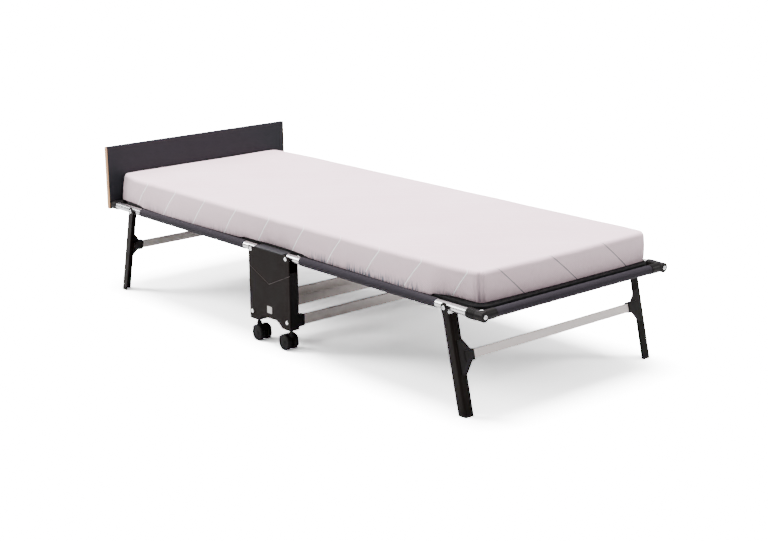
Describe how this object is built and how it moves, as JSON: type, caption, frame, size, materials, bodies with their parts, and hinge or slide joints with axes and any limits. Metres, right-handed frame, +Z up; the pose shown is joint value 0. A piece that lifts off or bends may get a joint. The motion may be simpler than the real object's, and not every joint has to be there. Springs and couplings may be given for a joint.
{
  "type": "folding cot",
  "caption": "Folding guest cot with headboard, ribbed foam mattress, tubular frame, fold-away splayed legs and a hinged central wheel unit.",
  "frame": {"origin": "centre of the opened cot's footprint, on the floor", "axes": "+X along the length from the headboard to the foot, +Y across the width to the left side, +Z up"},
  "size_m": [1.9594, 0.817, 0.522],
  "materials": {
    "tube": "bright satin tube",
    "crossbar": "warm grey satin profile",
    "bolt": "bright zinc",
    "leg": "semi-gloss brown-black paint",
    "gusset": "semi-gloss dark grey paint",
    "pod": "fine textured charcoal",
    "pod_cover": "satin slate grey",
    "black_plastic": "satin black moulding",
    "plug": "dull black moulding",
    "label": "plain pale plate, unprinted",
    "wheel": "dull black tread",
    "sleeve": "purple-grey woven sleeve",
    "deck": "black fabric covered deck",
    "mattress": "pale ribbed knit with fine woven lines",
    "headboard": "dark charcoal laminated board",
    "lipping": "oak edge strip"
  },
  "bodies": {
    "wheel_unit": {"pod_plate_left": "pod", "pod_housing_left": "black_plastic", "pod_plate_right": "pod", "pod_housing_right": "black_plastic", "pod_top_covers": "pod_cover", "fold_pivot_bolts": "bolt", "pod_lower_bolts": "bolt", "crossbar_foot_side": "crossbar", "crossbar_head_lower": "crossbar", "crossbar_head_upper": "crossbar", "crossbar_sockets_head": "black_plastic", "crossbar_sockets_foot": "black_plastic", "blank_label_plates": "label", "caster_stem_bushes": "black_plastic", "deck_middle": "deck", "mattress_middle": "mattress"},
    "head_half": {"side_rail_left_head": "tube", "side_rail_right_head": "tube", "end_rail_head": "tube", "inner_rail_head": "tube", "corner_connector_left_head": "black_plastic", "corner_connector_right_head": "black_plastic", "corner_bolts_head": "bolt", "rail_sleeves_head": "sleeve", "end_sleeve_head": "sleeve", "deck_head": "deck", "mattress_head": "mattress", "leg_pivot_bolts_head": "bolt", "headboard_panel": "headboard", "headboard_end_lippings": "lipping"},
    "head_legs": {"leg_left_head": "leg", "leg_right_head": "leg", "leg_gussets_head": "gusset", "leg_crossbar_head": "crossbar", "leg_foot_plugs_head": "plug"},
    "foot_half": {"side_rail_left_foot": "tube", "side_rail_right_foot": "tube", "end_rail_foot": "tube", "inner_rail_foot": "tube", "corner_connector_left_foot": "black_plastic", "corner_connector_right_foot": "black_plastic", "corner_bolts_foot": "bolt", "rail_sleeves_foot": "sleeve", "end_sleeve_foot": "sleeve", "deck_foot": "deck", "mattress_foot": "mattress", "leg_pivot_bolts_foot": "bolt"},
    "foot_legs": {"leg_left_foot": "leg", "leg_right_foot": "leg", "leg_gussets_foot": "gusset", "leg_crossbar_foot": "crossbar", "leg_foot_plugs_foot": "plug"},
    "caster_left_head": {"caster_body_left_head": "black_plastic"},
    "wheels_left_head": {"caster_wheels_left_head": "wheel"},
    "caster_left_foot": {"caster_body_left_foot": "black_plastic"},
    "wheels_left_foot": {"caster_wheels_left_foot": "wheel"},
    "caster_right_head": {"caster_body_right_head": "black_plastic"},
    "wheels_right_head": {"caster_wheels_right_head": "wheel"},
    "caster_right_foot": {"caster_body_right_foot": "black_plastic"},
    "wheels_right_foot": {"caster_wheels_right_foot": "wheel"}
  },
  "joints": [
    {"name": "head_fold", "type": "hinge", "parent": "wheel_unit", "child": "head_half", "pos_m": [-0.08675, 0, 0.308], "axis": [0, 1, 0], "range_deg": [0, 85], "deforming": ["mattress_middle"]},
    {"name": "head_leg_fold", "type": "hinge", "parent": "head_half", "child": "head_legs", "pos_m": [-0.81775, 0, 0.308], "axis": [0, -1, 0], "range_deg": [0, 103.2]},
    {"name": "foot_fold", "type": "hinge", "parent": "wheel_unit", "child": "foot_half", "pos_m": [0.09925, 0, 0.308], "axis": [0, -1, 0], "range_deg": [0, 85]},
    {"name": "foot_leg_fold", "type": "hinge", "parent": "foot_half", "child": "foot_legs", "pos_m": [0.83025, 0, 0.308], "axis": [0, 1, 0], "range_deg": [0, 103.2]},
    {"name": "caster_swivel_left_head", "type": "hinge", "parent": "wheel_unit", "child": "caster_left_head", "pos_m": [-0.07975, 0.385, 0.07], "axis": [0, 0, 1], "continuous": true},
    {"name": "wheel_spin_left_head", "type": "hinge", "parent": "caster_left_head", "child": "wheels_left_head", "pos_m": [-0.06575, 0.385, 0.025], "axis": [0, 1, 0], "continuous": true},
    {"name": "caster_swivel_left_foot", "type": "hinge", "parent": "wheel_unit", "child": "caster_left_foot", "pos_m": [0.09225, 0.385, 0.07], "axis": [0, 0, 1], "continuous": true},
    {"name": "wheel_spin_left_foot", "type": "hinge", "parent": "caster_left_foot", "child": "wheels_left_foot", "pos_m": [0.07825, 0.385, 0.025], "axis": [0, 1, 0], "continuous": true},
    {"name": "caster_swivel_right_head", "type": "hinge", "parent": "wheel_unit", "child": "caster_right_head", "pos_m": [-0.07975, -0.385, 0.07], "axis": [0, 0, 1], "continuous": true},
    {"name": "wheel_spin_right_head", "type": "hinge", "parent": "caster_right_head", "child": "wheels_right_head", "pos_m": [-0.06575, -0.385, 0.025], "axis": [0, 1, 0], "continuous": true},
    {"name": "caster_swivel_right_foot", "type": "hinge", "parent": "wheel_unit", "child": "caster_right_foot", "pos_m": [0.09225, -0.385, 0.07], "axis": [0, 0, 1], "continuous": true},
    {"name": "wheel_spin_right_foot", "type": "hinge", "parent": "caster_right_foot", "child": "wheels_right_foot", "pos_m": [0.07825, -0.385, 0.025], "axis": [0, 1, 0], "continuous": true}
  ],
  "couplings": [
    {"joint": "head_leg_fold", "follows": "head_fold", "ratio": 1.2141},
    {"joint": "foot_leg_fold", "follows": "foot_fold", "ratio": 1.2141}
  ]
}
